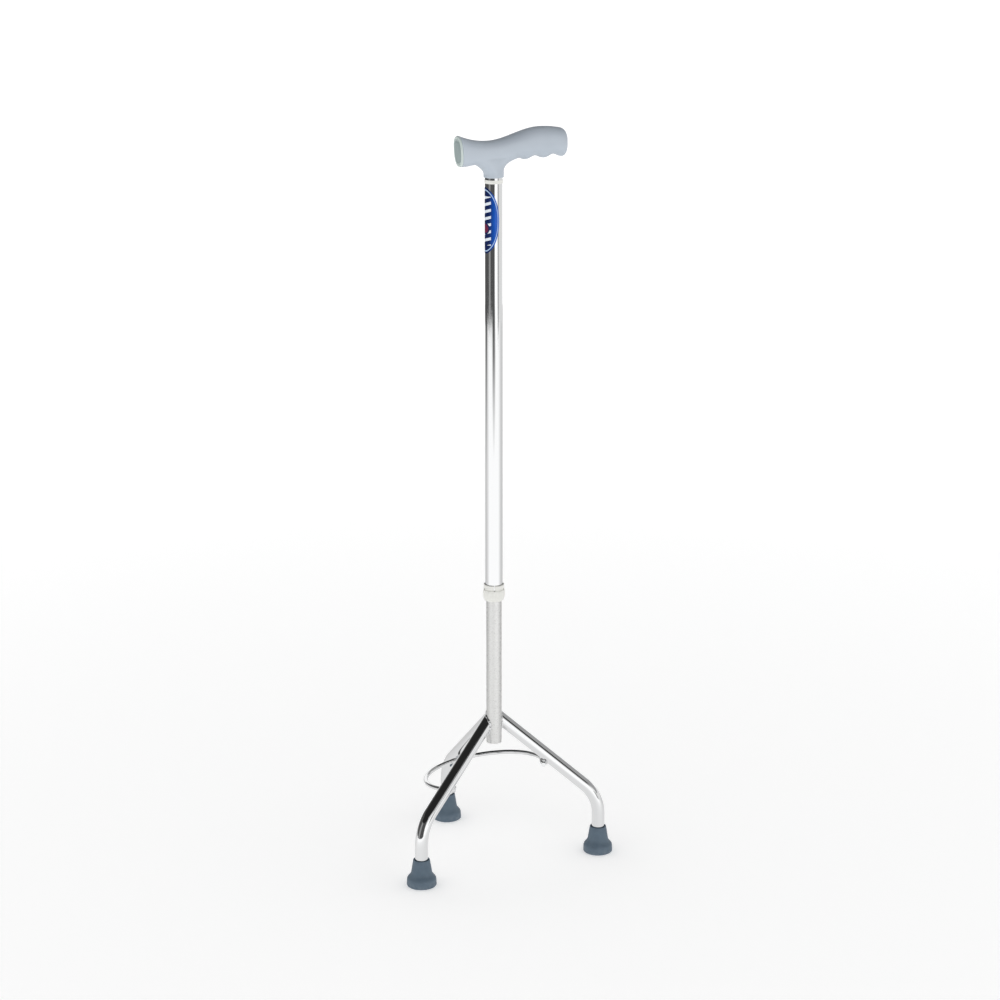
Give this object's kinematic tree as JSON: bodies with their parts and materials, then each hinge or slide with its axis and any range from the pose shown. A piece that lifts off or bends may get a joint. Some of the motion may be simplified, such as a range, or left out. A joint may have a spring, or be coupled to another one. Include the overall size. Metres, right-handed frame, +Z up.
{
  "type": "three-footed walking cane",
  "caption": "Height-adjustable walking cane: moulded T-handle on telescoping tubes, splayed bent legs with rubber feet and an open hoop tying the legs.",
  "frame": {"origin": "on the floor at the centre of the object's box, with the button in the middle hole", "axes": "+Z up along the shaft, -X toward the handle's nose, +Y toward the side leg; the user stands on the -Y side"},
  "size_m": [0.2628, 0.2034, 0.8562],
  "materials": {
    "handle_plastic": "satin moulded plastic, pale blue-grey",
    "cap_plastic": "matte, darker grey-green",
    "white_plastic": "white moulded plastic",
    "bush_plastic": "black moulded plastic",
    "label": null,
    "chrome": "bright chromium plating on steel tube",
    "satin_metal": "satin plated steel",
    "steel": "bare steel",
    "rubber": "slate blue-grey moulded rubber"
  },
  "bodies": {
    "base": {"inner_tube": "satin_metal", "top_bush": "bush_plastic", "bottom_plug": "bush_plastic", "button_spring": "steel", "leg_front": "chrome", "leg_rear": "chrome", "leg_side": "chrome", "leg_weld": "satin_metal", "hoop": "chrome", "hoop_weld_front": "satin_metal", "hoop_weld_rear": "satin_metal", "hoop_weld_side": "satin_metal", "foot_front": "rubber", "foot_rear": "rubber", "foot_side": "rubber", "washer_front": "steel", "washer_rear": "steel", "washer_side": "steel"},
    "upper": {"outer_tube": "chrome", "label": "label", "neck_ring": "white_plastic", "handle": "handle_plastic", "handle_rivet": "steel", "handle_cap": "cap_plastic", "collar_sleeve": "white_plastic"},
    "collar": {"collar_nut": "white_plastic"},
    "button": {"snap_button": "steel"}
  },
  "joints": [
    {"name": "height_slide", "type": "slide", "parent": "base", "child": "upper", "axis": [0, 0, 1], "range_m": [-0.114, 0.114]},
    {"name": "collar_turn", "type": "hinge", "parent": "upper", "child": "collar", "pos_m": [0, -0.03851, 0.321], "axis": [0, 0, 1], "range_deg": [0, 180]},
    {"name": "button_press", "type": "slide", "parent": "base", "child": "button", "axis": [0, -1, 0], "range_m": [0, 0.0036], "stiffness_N_per_m": 600, "springref_m": -0.002, "deforming": ["button_spring"]}
  ]
}
